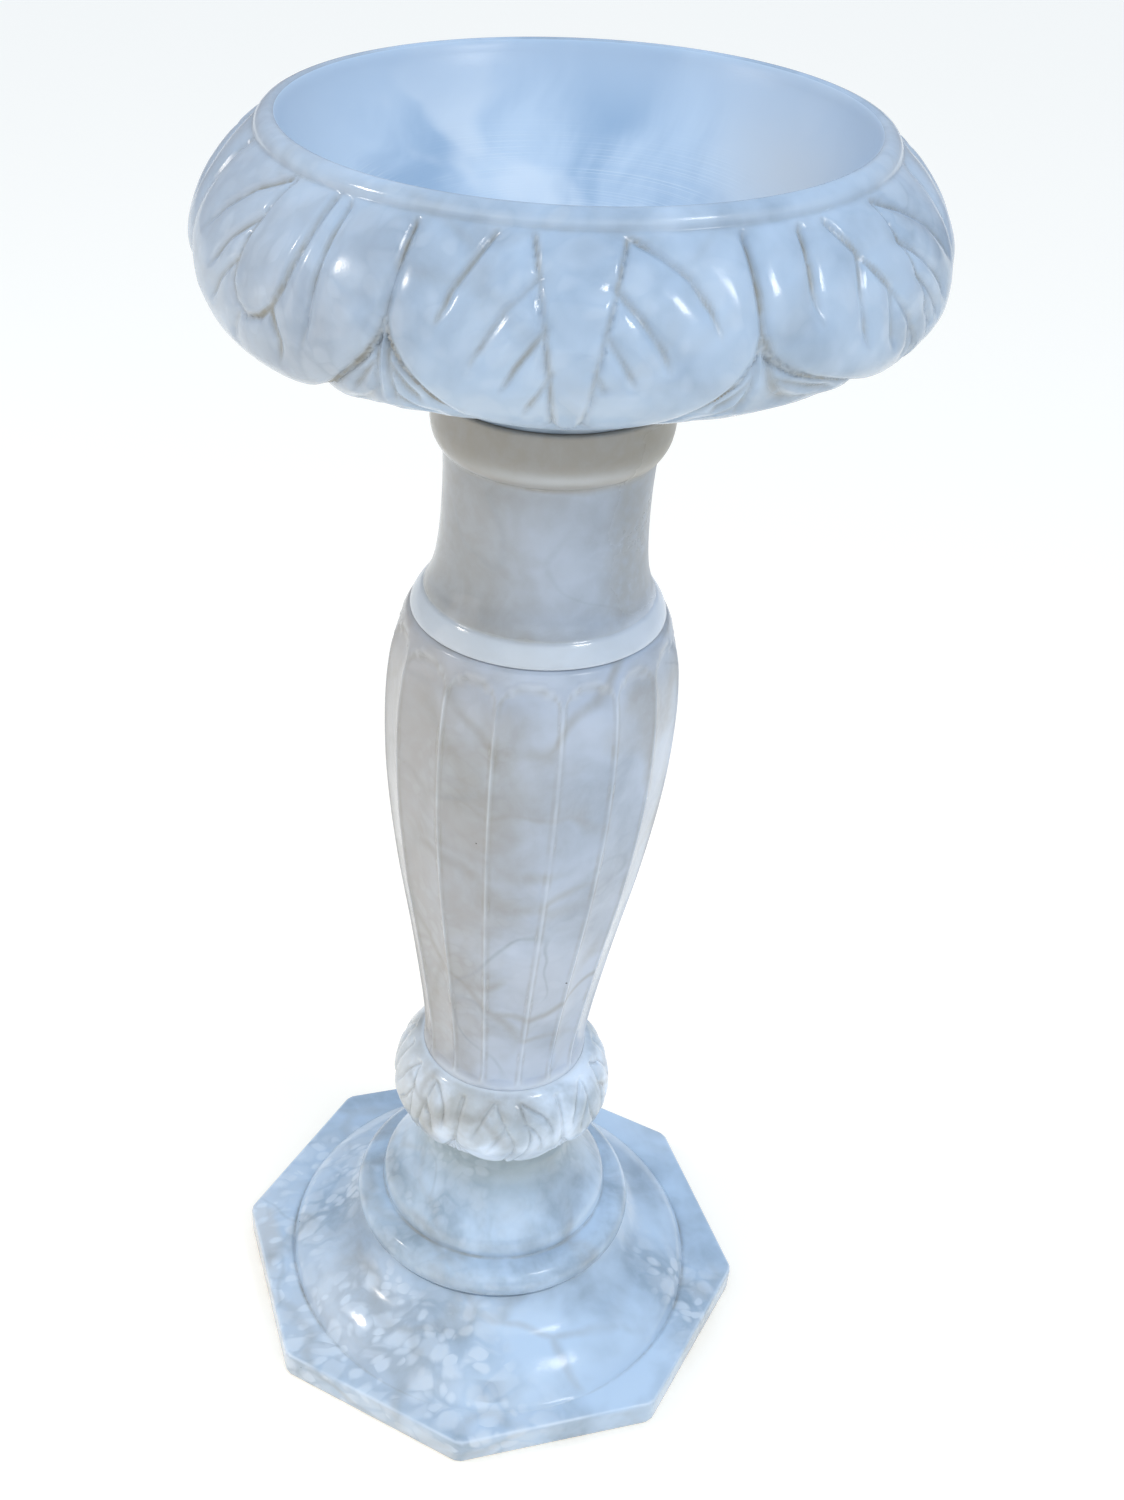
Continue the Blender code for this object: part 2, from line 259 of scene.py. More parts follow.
class Turned:
    """A grid of points round the axis: one row for each outline point, one column for each angle."""

    def __init__(self, outline, columns, first_angle=0.0):
        clean = [outline[0]]
        for point in outline[1:]:
            if math.dist(point, clean[-1]) > 0.01:
                clean.append(point)
        rows = np.array(clean, float)
        self.rows = rows
        self.closed = rows[0, 0] > 0
        ahead, behind = np.roll(rows, -1, 0), np.roll(rows, 1, 0)
        if not self.closed:
            ahead[-1], behind[0] = rows[-1], rows[0]
        tangent = ahead - behind
        tangent /= np.linalg.norm(tangent, axis=1)[:, None]
        self.out_r = tangent[:, 1][:, None]
        self.out_z = -tangent[:, 0][:, None]
        angles = math.radians(first_angle) + np.arange(columns) * 2 * math.pi / columns
        self.angle = np.broadcast_to(angles, (len(rows), columns)).copy()
        self.r = np.repeat(rows[:, :1], columns, 1)
        self.z = np.repeat(rows[:, 1:], columns, 1)
        steps = np.linalg.norm(np.diff(rows, axis=0), axis=1)
        self.path = np.concatenate([[0.0], np.cumsum(steps)])[:, None]
        self.crease = np.zeros_like(self.r)
        self.highlight_and_wear = np.zeros_like(self.r)

    def degrees(self, turn):
        """Each column's angle from the given one, in degrees, from -180 to 180."""
        return (np.degrees(self.angle) - turn + 180) % 360 - 180

    def down_from(self, radius, height):
        """Millimetres down the outline from its point nearest (radius, height)."""
        start = np.argmin(np.hypot(self.rows[:, 0] - radius, self.rows[:, 1] - height))
        return self.path[start] - self.path + np.zeros_like(self.r)

    def away_from(self, radius, height):
        """Each outline point's distance from (radius, height)."""
        return np.hypot(self.rows[:, :1] - radius, self.rows[:, 1:] - height)

    def sink(self, depth):
        """Moves the surface inwards along the outline's normal by depth millimetres."""
        self.r = self.r - depth * self.out_r
        self.z = self.z - depth * self.out_z

    def darken(self, amount, seed):
        """Darkens unevenly where amount is high, for grime and for painted shade."""
        uneven = 0.65 + 0.35 * wander(*self.xyz(), 25, seed)
        self.crease = np.maximum(self.crease, np.clip(amount * uneven, 0, 1))

    def darken_rings(self, rings, width, seed, strength=1.0):
        """Grime and painted shade in the turned grooves whose bottoms lie at the given (radius, height)
        points.
        """
        for radius, height in rings:
            away = self.away_from(radius, height)
            self.darken(strength * bump(away, width) + np.zeros_like(self.r), seed)

    def xyz(self):
        return self.r * np.cos(self.angle), self.r * np.sin(self.angle), self.z

    def rough_up(self, height, size, seed):
        """Slow waves from hand work and polishing."""
        x, y, z = self.xyz()
        self.sink(height * (0.5 + 0.5 * wander(x, y, z, size, seed)))

    def faces(self):
        """Corner numbers of every face. The points of a row on the axis count as one."""
        rows, columns = self.r.shape
        index = np.arange(rows * columns).reshape(rows, columns)
        faces = []
        for i in range(rows if self.closed else rows - 1):
            low, high = index[i], index[(i + 1) % rows]
            low_next, high_next = np.roll(low, -1), np.roll(high, -1)
            if self.rows[i, 0] == 0:
                faces += np.stack([np.full(columns, low[0]), high_next, high], -1).tolist()
            elif self.rows[(i + 1) % rows, 0] == 0:
                faces += np.stack([low, low_next, np.full(columns, high[0])], -1).tolist()
            else:
                faces += np.stack([low, low_next, high_next, high], -1).tolist()
        return faces

    def mesh(self, name):
        points = np.stack([part * MM for part in self.xyz()], -1).reshape(-1, 3)
        faces = self.faces()
        used = sorted({corner for face in faces for corner in face})
        renumber = {old: new for new, old in enumerate(used)}
        faces = [[renumber[corner] for corner in face] for face in faces]
        mesh = bpy.data.meshes.new(name)
        mesh.from_pydata(points[used].tolist(), [], faces)
        mesh.validate()
        mesh.shade_smooth()
        mesh.set_sharp_from_angle(angle=math.radians(SHARP_ANGLE))
        for label, values in ((CREASE, self.crease), (HIGHLIGHT_AND_WEAR, self.highlight_and_wear)):
            stored = mesh.attributes.new(label, "FLOAT", "POINT")
            stored.data.foreach_set("value", values.reshape(-1)[used].astype(np.float32))
        return new_object(name, mesh)


def bedded_face(outer, level):
    """A stone's underside from its bore out to its edge, with the recess for the setting bed."""
    ceiling = level + BED_RECESS
    corners = [(BORE, level), (14, level), (14, ceiling), (outer - 9, ceiling), (outer - 9, level)]
    return corners + [(outer - 1, level)]


# ---------------- leaves


# The lines of half a leaf, which are mirrored for the other half. The first number of each pair is
# degrees from the leaf's middle, on a leaf twice HALF_LEAF wide. The second is millimetres down from
# its top.
HALF_LEAF = 25.7
LEAF_MARGIN = [
    (HALF_LEAF, 0), (HALF_LEAF, 50), (24.8, 60), (22.8, 70), (19.6, 82), (15.5, 95), (10.5, 107),
    (5, 117), (0, 124),
]
RIB_EDGE = [(7.2, 0), (5.2, 27), (3.8, 48), (2.7, 70), (2.1, 88), (1.8, 99)]
CURVED_VEINS = [
    [(7.0, 1), (11.6, 11), (15.7, 23), (18.3, 38), (19.8, 54)],
    [(5.2, 27), (8.4, 39), (11.6, 54), (13.2, 68)],
    [(4.0, 46), (6.4, 58), (8.8, 72)],
    [(2.9, 62), (4.6, 74)],
]
STRAIGHT_VEINS = [
    [(12.9, 3), (14.9, 18), (17.2, 34), (18.7, 54)],
    [(5.6, 24), (9.4, 39), (12.9, 60), (14.0, 70)],
    [(4.0, 45), (7.4, 62), (9.6, 76)],
    [(2.7, 63), (4.8, 77), (6.2, 88)],
]
TONGUE_EDGE = [(5.6, 0), (6.0, 30), (5.8, 50), (4.9, 60), (3.0, 68), (0.2, 72)]
TONGUE_FAN = [
    [(7.0, 2), (12.4, 14), (16.4, 30), (19.0, 50)],
    [(6.6, 28), (10.5, 42), (13.4, 62)],
    [(6.2, 50), (9.2, 62), (11.4, 77)],
    [(2.4, 74), (4.6, 88)],
]
TONGUE_LINES = [[(9.3, 2), (10.4, 30), (12.0, 56), (12.4, 84)], [(4.6, 62), (7.4, 76), (7.6, 90)]]
PLAIN_LEAF = (RIB_EDGE, STRAIGHT_VEINS, CURVED_VEINS)
TONGUE_LEAF = (TONGUE_EDGE, TONGUE_LINES, TONGUE_FAN)
VEINS_BEHIND = [
    [(0.6, 58), (1.4, 100)],
    [(1.2, 72), (3.4, 84), (5.8, 94)],
    [(1.2, 88), (4.0, 100), (8.0, 108)],
    [(1.2, 104), (5.0, 114), (9.0, 120)],
]


def groove_lines(x, down, lines, scale, crisp):
    """Depth and crease of grooves that fade out at their far ends. Each one is shallower than the last."""
    cut, crease = np.zeros_like(x), np.zeros_like(x)
    for number, points in enumerate(lines):
        distance, along = line_distance(x, down, [(degrees * scale, way) for degrees, way in points])
        strength = (1 - smooth(along, 0.7, 1.02)) * (1.0 - 0.12 * number)
        groove = crisp * bump(distance, 2.1) + 2.1 * bump(distance, 7.5)
        cut = np.maximum(cut, strength * groove)
        crease = np.maximum(crease, strength * bump(distance, 1.4))
    return cut, crease


def veins_and_rib(x, down, scale, straight, pattern, crisp, fewer):
    """Depth and crease of the cuts on a leaf: its veins, and the line along its raised rib."""
    rib_edge, straight_veins, curved_veins = pattern
    straight_cut, straight_crease = groove_lines(x, down, straight_veins[:fewer], scale, crisp)
    curved_cut, curved_crease = groove_lines(x, down, curved_veins[:fewer], scale, crisp)
    cut = np.where(straight, straight_cut, curved_cut)
    crease = np.where(straight, straight_crease, curved_crease)

    rib = [(degrees * scale, way) for degrees, way in rib_edge]
    distance, _ = line_distance(x, down, rib)
    rib_reach = np.interp(down, [way for _, way in rib], [w for w, _ in rib], right=0.0)
    outside_rib = smooth(x - rib_reach, -0.5, 1.5)
    cut = np.maximum(cut, crisp * bump(distance, 1.9) + 1.6 * outside_rib * bump(distance, 7.0))
    return cut, np.maximum(crease, 0.9 * bump(distance, 1.4))


def leaves_behind(x, down, scale, half_width, reach, beyond, crisp):
    """Depth and crease of the leaves that show between the tips. They lie lower, with their own veins."""
    behind_x = half_width - x
    low, low_crease = groove_lines(behind_x, down, VEINS_BEHIND, scale, crisp)
    local_half = np.maximum(half_width - reach, 1.0)
    bulge = np.sqrt(np.clip(1 - (behind_x / local_half) ** 2, 0, 1))
    recess = (5.6 - 4.2 * bulge + 1.0 * low) * smooth(beyond, 0.0, 2.0)
    undercut = 2.6 * smooth(down, 84, 106) * bump(beyond, 6.0)
    recess = recess + 1.5 * crisp * bump(beyond, 2.0) + undercut
    return recess, np.maximum(0.85 * low_crease, bump(beyond, 2.2))


def leaf_carving(across, down, straight, half_width, pattern, crisp=1.9, fewer=4):
    """Depth of the carving in a band of tongue-shaped leaves, and where grime and painted shade darken it.

    across is -1 to 1 over one leaf, whose rib is at 0. straight says where the veins are the straighter
    kind. half_width is half a leaf's width in the same millimetres as down. pattern holds the lines of
    the rib and of both kinds of veins. crisp is the depth of the sharp cuts, and fewer limits the veins
    on each side.
    """
    scale = half_width / HALF_LEAF
    x = np.abs(across) * half_width
    margin = [(degrees * scale, way) for degrees, way in LEAF_MARGIN]
    to_edge, _ = line_distance(x, down, margin)
    reach = np.interp(down, [way for _, way in margin], [width for width, _ in margin])
    on_leaf = x < reach
    beyond = np.where(on_leaf, 0.0, to_edge)

    cut, crease = veins_and_rib(x, down, scale, straight, pattern, crisp, fewer)
    cut = np.maximum(cut, 1.3 * crisp * bump(to_edge, 2.4) + 1.8 * bump(to_edge, 7.5))
    crease = np.maximum(crease, bump(to_edge, 1.5))
    recess, low_crease = leaves_behind(x, down, scale, half_width, reach, beyond, crisp)
    crease = np.where(on_leaf, crease, low_crease)
    fade_in = smooth(down, 0.0, 5.0)
    return np.where(on_leaf, cut, recess) * fade_in, crease * fade_in


def lean_ribs(across, down, number, half_degrees):
    """Shifts the middle of each leaf sideways by its rib's lean. The leaf's two edges stay in place."""
    top, foot = (np.array(shift)[number] for shift in zip(*RIB_SHIFT))
    shift = top + (foot - top) * np.clip(down / RIB_FOOT, 0, 1) ** 1.3
    return across - shift / half_degrees * (1 - across**2)


def carve_bowl(bowl):
    down = bowl.down_from(*BOWL_GROOVE)
    width = 360 / BOWL_LEAVES
    offset = bowl.degrees(BOWL_TURN)
    number = np.round(offset / width).astype(int) % BOWL_LEAVES
    local = (offset + width / 2) % width - width / 2
    across = lean_ribs(local / (width / 2), down, number, width / 2)
    x, y, z = bowl.xyz()
    down = down + 1.6 * wander(x, y, z, 90, 3)
    around = math.radians(width / 2) * BOWL_RADIUS
    straight = np.where(across > 0, np.array(STRAIGHT_RIGHT)[number], np.array(STRAIGHT_LEFT)[number])
    across = np.clip(across, -1, 1)
    plain, plain_crease = leaf_carving(across, down, straight, around, PLAIN_LEAF)
    tongued, tongued_crease = leaf_carving(across, down, straight, around, TONGUE_LEAF)
    is_tongue = np.isin(number, TONGUE_LEAVES)
    carved = np.where(is_tongue, tongued, plain)
    crease = np.where(is_tongue, tongued_crease, plain_crease)
    fade_out = 1 - smooth(down, *CARVING_END)
    fuller = bump(bowl.degrees(CAMERA_AZIMUTH + FULLER_BEARING), 30) * bump(down - FULLER_DOWN, 24)
    fuller = fuller * smooth(down, 72, 92)
    bowl.sink(np.where(down > 0, carved * fade_out - FULLER * fuller, 0.0))
    # Grime and painted shade in the carved grooves and in the groove under the rim
    bowl.darken(np.where(down > 0, crease * fade_out, 0.0), 5)
    bowl.darken_rings([BOWL_GROOVE], 1.4, 15, 0.2)
    # A painted highlight line along the rim's outer edge
    rim_edge = bowl.away_from(*RIM_EDGE)
    bowl.highlight_and_wear = 0.3 * bump(rim_edge, 1.4) * np.clip(0.5 + 0.5 * wander(x, y, z, 80, 16), 0, 1)


def bowl_piece():
    socket = [(0, 797), (9.3, 797), (9.3, 758.3), (66.5, 758.2), (67.4, 758.8)]
    underside = [(67.4, 758.8), (68.4, 761), (73, 765.5), (86, 773), (105, 782), (128, 791), (150, 798.4)]
    outside = [
        (150, 798.4), (170, 805), (187, 814), (197.2, 826), (199.4, 837), (197.1, 852),
        (190.2, 867), (178.8, 881.0), (168.5, 889.6), BOWL_GROOVE,
    ]
    rim = [
        BOWL_GROOVE, (163.2, 893.0), (163.0, 894.2), (161.9, 896.4), (159.8, 898.4), (157.2, 899.6),
        (154.8, 899.9), (152.9, 899.2), (151.1, 897.0), (149.2, 893.2),
    ]
    basin = [(149.2, 893.2), (138, 878), (108, 851), (60, 829), (0, 821)]
    outline = line(socket, 20) + curve(underside, 3) + curve(outside, 1.35)
    outline = outline + curve(rim, 1.4) + curve(basin, 9)
    bowl = Turned(outline, BOWL_LEAVES * 124, BOWL_TURN)
    carve_bowl(bowl)
    return bowl.mesh("carved_bowl")


# ---------------- other stones


def carve_knop(knop):
    down = knop.down_from(*KNOP_TOP)
    length = down[np.argmin(knop.away_from(*KNOP_FOOT))][0]
    width = 360 / KNOP_LEAVES
    local = (knop.degrees(KNOP_TURN) + width / 2) % width - width / 2
    across = local / (width / 2)
    x, y, z = knop.xyz()
    across = np.clip(across + 0.12 * wander(x, y, z, 60, 21) * (1 - across**2), -1, 1)
    enlarge = KNOP_REACH / length
    around = math.radians(width / 2) * KNOP_RADIUS * enlarge
    straight = wander(x, y, z, 120, 22) > 0
    carved, crease = leaf_carving(across, down * enlarge, straight, around, PLAIN_LEAF, 2.6, 2)
    inside = (down > 0) & (down < length)
    fade_out = 1 - smooth(down, length - 6, length - 1)
    knop.sink(np.where(inside, KNOP_CUT * carved * fade_out, 0.0))
    # Grime and painted shade in the knop's carving
    knop.darken(np.where(inside, 0.45 * crease, 0.0), 6)
    # A painted highlight along the lip where it meets the shaft
    lip = knop.away_from(60.6, 258.6)
    knop.highlight_and_wear = 0.9 * bump(lip, 2.2) + np.zeros_like(knop.r)


def knop_piece():
    ring = [
        (61, 190.35), (63, 190.6), (74.5, 199.5), (81.2, 213), (82, 223), (79.2, 237), (72.6, 248.6),
        (66.5, 255), (62.8, 257.6), (60.15, 258.8),
    ]
    seat = [(60.15, 258.8), (60.15, 250), (BORE, 250)]
    outline = bedded_face(61, 190.3) + curve(ring, 0.9) + line(seat, 8)
    knop = Turned(outline, KNOP_LEAVES * 84, KNOP_TURN)
    carve_knop(knop)
    return knop.mesh("carved_knop")


def across_flutes(shaft, pitch):
    """-1 to 1 across each flute, between arrises that stray a little from an even spacing."""
    arrises = [i * pitch + stray for i, stray in enumerate(ARRIS_STRAY)]
    edges = [arrises[-1] - 360] + arrises + [arrises[0] + 360]
    offset = shaft.degrees(FLUTE_TURN + pitch / 2) % 360
    place = np.interp(offset, edges, np.arange(len(edges)))
    return 2 * (place - np.floor(place)) - 1


def carve_shaft(shaft):
    pitch = 360 / FLUTES
    across = across_flutes(shaft, pitch)
    half = shaft.rows[:, :1] * math.radians(pitch / 2)
    height = shaft.rows[:, 1:]
    round_end = half * (1 - np.sqrt(np.clip(1 - across**2, 0, 1)))
    from_top = FLUTE_TOP - 0.8 * round_end - height
    from_foot = height - (FLUTE_FOOT + 0.35 * round_end)
    inside = smooth(from_top, 0.0, 1.8) * smooth(from_foot, 0.0, 2.4)
    outside = shaft.rows[:, :1] > SHAFT_SEAT
    shaft.sink(np.where(outside, FLUTE_DEPTH * (1 - across**2) ** 0.7 * inside, 0.0))
    from_arris = (1 - np.abs(across)) * half
    # Painted shade along the flanks beside each arris, and darkening just inside the flute tops
    shaft.darken(np.where(outside, 0.4 * bump(from_arris - 2.0, 1.0) * inside, 0.0), 8)
    shaft.darken(np.where(outside, 0.35 * bump(from_top - 1.0, 1.3), 0.0), 8)
    x, y, z = shaft.xyz()
    broken_up = 0.6 + 0.4 * wander(x, y, z, 40, 18)
    # Painted highlights on the arrises and the flute ends, and painted light over the foot below the
    # flutes where it meets the knop
    edge = np.maximum(0.5 * bump(from_arris, 0.8) * inside, 0.8 * bump(from_foot, 1.3))
    edge = np.maximum(edge, 0.25 * bump(from_top + 0.4, 1.2))
    edge = np.maximum(edge, 0.8 * smooth(from_foot, 0.5, -1.0) * smooth(height, 255.0, 258.0))
    shaft.highlight_and_wear = np.where(outside, edge * np.clip(broken_up, 0, 1), 0.0)


def shaft_piece():
    vase = [
        (57.5, 250.3), (59.9, 251.8), (61, 288), (70.8, 357), (84, 435), (91.6, 500), (93.2, 552),
        (90.6, 588), (85.8, 606), (80.8, 618), (79, 620),
    ]
    outline = bedded_face(58.5, 250.3) + curve(vase, 3.0) + line([(79, 620), (BORE, 620)], 12)
    shaft = Turned(outline, FLUTES * 36, FLUTE_TURN)
    carve_shaft(shaft)
    return shaft.mesh("fluted_shaft")


def colour_neck(neck):
    """Grime and painted shade in the turned grooves, painted shade faintly over the right side, and the
    band and the front of the collar's lip painted pale as highlights.
    """
    neck.darken_rings([(70.3, 635.0), (62.6, 724.6), (77.4, 620.5)], 1.2, 9, 0.55)
    height = neck.rows[:, 1:]
    # Painted shade faintly over the neck's right side
    bearing = neck.degrees(CAMERA_AZIMUTH)
    side = smooth(height, 757.5, 754.0) * smooth(height, 636.0, 642.0)
    right_shade = 0.5 * smooth(bearing, 28, 50) * smooth(bearing, 140, 110) * side
    neck.crease = np.maximum(neck.crease, right_shade)
    # Painted highlight along the front of the collar's lower lip, and the band painted pale as a highlight
    front = bump(neck.degrees(CAMERA_AZIMUTH + 8), 42)
    lip = bump(neck.z - 732.0, 4.5) * (neck.rows[:, :1] > 63) * front
    neck.highlight_and_wear = 0.75 * smooth(neck.z, 637.0, 632.0) + 0.5 * lip


def neck_piece():
    band = [
        (75.5, 620.3), (77.4, 620.4), (78.3, 621.2), (78.2, 622.8), (76.2, 627.2), (73.6, 631.2),
        (71.6, 633.6), (70.7, 634.2), (70.3, 634.9), (70.2, 636.0),
    ]
    hollow = [
        (70.2, 636.0), (67.6, 641), (64.8, 650), (62.8, 663), (61.6, 680), (61.2, 700), (61.6, 716),
        (62.3, 722), (62.5, 724.2),
    ]
    collar = [
        (62.5, 724.2), (63.4, 725.0), (65.2, 726.6), (68.4, 732.6), (69.8, 739.5), (COLLAR, 745),
        (COLLAR, 756.4), (69.8, 757.6), (69.2, 758),
    ]
    top = [(69.2, 758), (20, 758), (20, 738), (BORE, 738)]
    outline = bedded_face(76.5, 620.3) + curve(band, 0.9) + curve(hollow, 4)
    outline = outline + curve(collar, 1.2) + line(top, 9)
    neck = Turned(outline, 240)
    colour_neck(neck)
    return neck.mesh("turned_neck")


def foot_piece():
    bottom = 77.3
    torus = arc((96.5, bottom + 13), 13, -82, 72, 22)
    fillet = [(100.5, 102.6), (98.5, 103.2), (94, 103.7), (90, 104.0), (88.4, 104.3), (87.9, 105.4)]
    bell = [
        (87.9, 105.4), (88.8, 109.5), (88.2, 114), (85.5, 121), (71, 138), (58.5, 157), (56, 174),
        (60, 190),
    ]
    top = line([(60, 190), (BORE, 190)], 10)
    outline = bedded_face(97, bottom) + torus + curve(fillet, 0.9) + curve(bell, 2.2) + top
    foot = Turned(outline, 240)
    foot.rough_up(0.25, 70, 11)
    # Grime and painted shade in the turned grooves
    foot.darken_rings([(88.0, 104.6), (97, 77.5)], 1.2, 10, 0.7)
    return foot.mesh("domed_foot")


def square_off(plinth):
    """Pushes the slab's round edge out to an octagon with rubbed corners."""
    eighth = 45.0
    offset = (np.degrees(plinth.angle) + eighth / 2) % eighth - eighth / 2
    sharp = SLAB_APOTHEM / np.cos(np.radians(offset))
    excess = sharp - SLAB_CORNER
    soft = 0.7
    edge = SLAB_CORNER + 0.5 * (excess - np.sqrt(excess**2 + soft**2)) + soft / 2
    edge = np.minimum(edge, np.minimum(sharp, SLAB_CORNER))
    share = smooth(plinth.rows[:, :1], 164.5, 180.0)
    plinth.r = plinth.r + (edge - SLAB_APOTHEM) * share


def round_off_step(plinth):
    """The mound's step is sharp and darkened with grime and painted shade at its sides, and rubbed down to
    a soft slope at the front.
    """
    front = bump(plinth.degrees(CAMERA_AZIMUTH + 4), 50)
    plinth.darken_rings([(162.5, 24.1), (104, 77)], 1.3, 12, 0.8)
    plinth.crease = plinth.crease * (1 - 0.95 * front)
    radius, height = plinth.rows[:, :1], plinth.rows[:, 1:]
    sharp = STEP_FOOT + 0.05
    step = (radius < sharp) & (height > 25.5) & (height < 39.5)
    worn_r = np.interp(height, [26, 30, 34.2, 39.5], [173, 166.5, 161, 154.5])
    plinth.r = plinth.r + np.where(step, (worn_r - radius) * front, 0.0)
    slab = (radius > sharp) & (radius < 181) & (height > 20) & (height < SLAB_TOP + 0.1)
    worn_r = np.interp(radius, [161.6, 166, 181], [173.4, 176, 181])
    worn_z = np.interp(radius, [161.6, 163, 166, 181], [26.1, 25.7, 25.35, SLAB_TOP])
    plinth.r = plinth.r + np.where(slab, (worn_r - radius) * front, 0.0)
    plinth.z = plinth.z + np.where(slab, (worn_z - height) * front, 0.0)


def highlight_slab_edge(plinth):
    """The slab's top edge gets a painted highlight line in stretches."""
    out = plinth.rows[:, :1] - (SLAB_APOTHEM - 1.0)
    up = plinth.rows[:, 1:] - (SLAB_TOP - 0.8)
    x, y, z = plinth.xyz()
    stretches = np.clip(0.7 + 0.4 * wander(x, y, z, 50, 19), 0, 1)
    plinth.highlight_and_wear = 0.9 * bump(out, 1.2) * bump(up, 1.2) * stretches


def plinth_piece():
    edge, shoulder = SLAB_APOTHEM, SLAB_TOP - SLAB_ROUND
    under = [(24, 20), (24, 0), (60, 0), (100, 0), (140, 0), (edge - 2, 0)]
    side = [(edge - 2, 0), (edge - 0.6, 0.5), (edge, 2)] + line([(edge, 2), (edge, shoulder)], 3)
    rounding = arc((edge - SLAB_ROUND, shoulder), SLAB_ROUND, 0, 90, 6)
    slab = line([(edge - SLAB_ROUND, SLAB_TOP), (166, SLAB_TOP)], 2.6)
    groove = [(166, SLAB_TOP), (164.4, 24.8), (163, 24.1), (162, 24.0), (161.6, 24.8), (STEP_FOOT, 26)]
    ogee = [
        (STEP_FOOT, 26), (161.2, 30), (159.4, 34.2), (154.5, 39.5), (143, 46.5), (123, 56), (110, 69),
        (104, 77),
    ]
    top = line([(104, 77), (BORE, 77)], 12) + line([(BORE, 77), (BORE, 20), (24, 20)], 10)[1:-1]
    outline = under + side[1:] + rounding[1:] + slab[1:] + groove[1:] + curve(ogee, 1.8)[1:] + top[1:]
    plinth = Turned(outline, 480)
    square_off(plinth)
    round_off_step(plinth)
    highlight_slab_edge(plinth)
    return plinth.mesh("octagonal_plinth")


# ---------------- materials


class Graph:
    """A material's nodes, built up from sockets. Coordinates are the object's own, in metres."""

    def __init__(self, name, offset=(0, 0, 0)):
        self.material = bpy.data.materials.new(name)
        self.material.use_nodes = True
        self.nodes = self.material.node_tree.nodes
        self.links = self.material.node_tree.links
        self.shader = self.nodes["Principled BSDF"]
        self.place = self.add("ShaderNodeTexCoord").outputs["Object"]
        self.stone = self.vector("ADD", self.place, offset)

    def add(self, kind, inputs=None, **settings):
        node = self.nodes.new(kind)
        for setting, value in settings.items():
            setattr(node, setting, value)
        for key, value in (inputs or {}).items():
            self.put(node.inputs[key], value)
        return node

    def put(self, target, value):
        if isinstance(value, bpy.types.NodeSocket):
            self.links.new(value, target)
        else:
            target.default_value = value

    def maths(self, operation, a, b=0.0):
        return self.add("ShaderNodeMath", {0: a, 1: b}, operation=operation).outputs[0]

    def vector(self, operation, a, b=(0, 0, 0)):
        """A vector worked out from one or two others."""
        return self.add("ShaderNodeVectorMath", {0: a, 1: b}, operation=operation).outputs[0]

    def measure(self, operation, a, b=(0, 0, 0)):
        """A vector's length, or its dot product with another."""
        return self.add("ShaderNodeVectorMath", {0: a, 1: b}, operation=operation).outputs["Value"]

    def step(self, value, low, high, start=0.0, end=1.0):
        """start below low, end above high, and smooth between."""
        inputs = {"Value": value, "From Min": low, "From Max": high, "To Min": start, "To Max": end}
        return self.add("ShaderNodeMapRange", inputs, interpolation_type="SMOOTHSTEP").outputs["Result"]

    def noise(self, scale, detail=3.0, vector=None, roughness=0.5, output="Fac"):
        vector = vector or self.stone
        inputs = {"Vector": vector, "Scale": scale, "Detail": detail, "Roughness": roughness}
        return self.add("ShaderNodeTexNoise", inputs).outputs[output]

    def cells(self, scale, vector, feature="F1"):
        return self.add("ShaderNodeTexVoronoi", {"Vector": vector, "Scale": scale}, feature=feature)

    def warped(self, vector, scale, amount):
        """The vector pushed about by noise, by up to about half of amount metres."""
        swirl = self.vector("SUBTRACT", self.noise(scale, 2.0, vector, output="Color"), (0.5, 0.5, 0.5))
        push = self.add("ShaderNodeVectorMath", {0: swirl, "Scale": amount}, operation="SCALE")
        return self.vector("ADD", vector, push.outputs[0])

    def along(self, direction):
        """How far a point lies along a direction, in metres."""
        return self.measure("DOT_PRODUCT", self.place, direction)

    def blend(self, share, a, b):
        node = self.add("ShaderNodeMix", data_type="RGBA")
        self.put(node.inputs["Factor"], share)
        self.put(node.inputs["A"], a)
        self.put(node.inputs["B"], b)
        return node.outputs["Result"]

    def paint(self, colour, share, over):
        """Lays a plain colour, given as sRGB bytes, over what is there."""
        return self.blend(share, over, shade(*colour))

    def attribute(self, name):
        return self.add("ShaderNodeAttribute", attribute_name=name).outputs["Fac"]

    def finish(self, colour, roughness, height, depth):
        self.links.new(colour, self.shader.inputs["Base Color"])
        self.links.new(roughness, self.shader.inputs["Roughness"])
        relief = self.add("ShaderNodeBump", {"Height": height, "Distance": depth})
        self.links.new(relief.outputs["Normal"], self.shader.inputs["Normal"])
        return self.material


def shade(red, green, blue):
    """sRGB bytes as a linear colour."""
    linear = [
        c / 12.92 if c <= 0.04045 else ((c + 0.055) / 1.055) ** 2.4
        for c in (red / 255, green / 255, blue / 255)
    ]
    return (*linear, 1.0)


def product(graph, *values):
    result = values[0]
    for value in values[1:]:
        result = graph.maths("MULTIPLY", result, value)
    return result


def cobbles(graph, vector, scale, gap):
    """Milky rounded patches about 1/scale metres wide, packed with narrow gaps between them."""
    edge = graph.cells(scale, vector, "DISTANCE_TO_EDGE").outputs["Distance"]
    tone = graph.step(graph.cells(scale, vector).outputs["Color"], 0.25, 0.75, 0.1, 1.0)
    return product(graph, graph.step(edge, gap, gap + 0.16), tone)


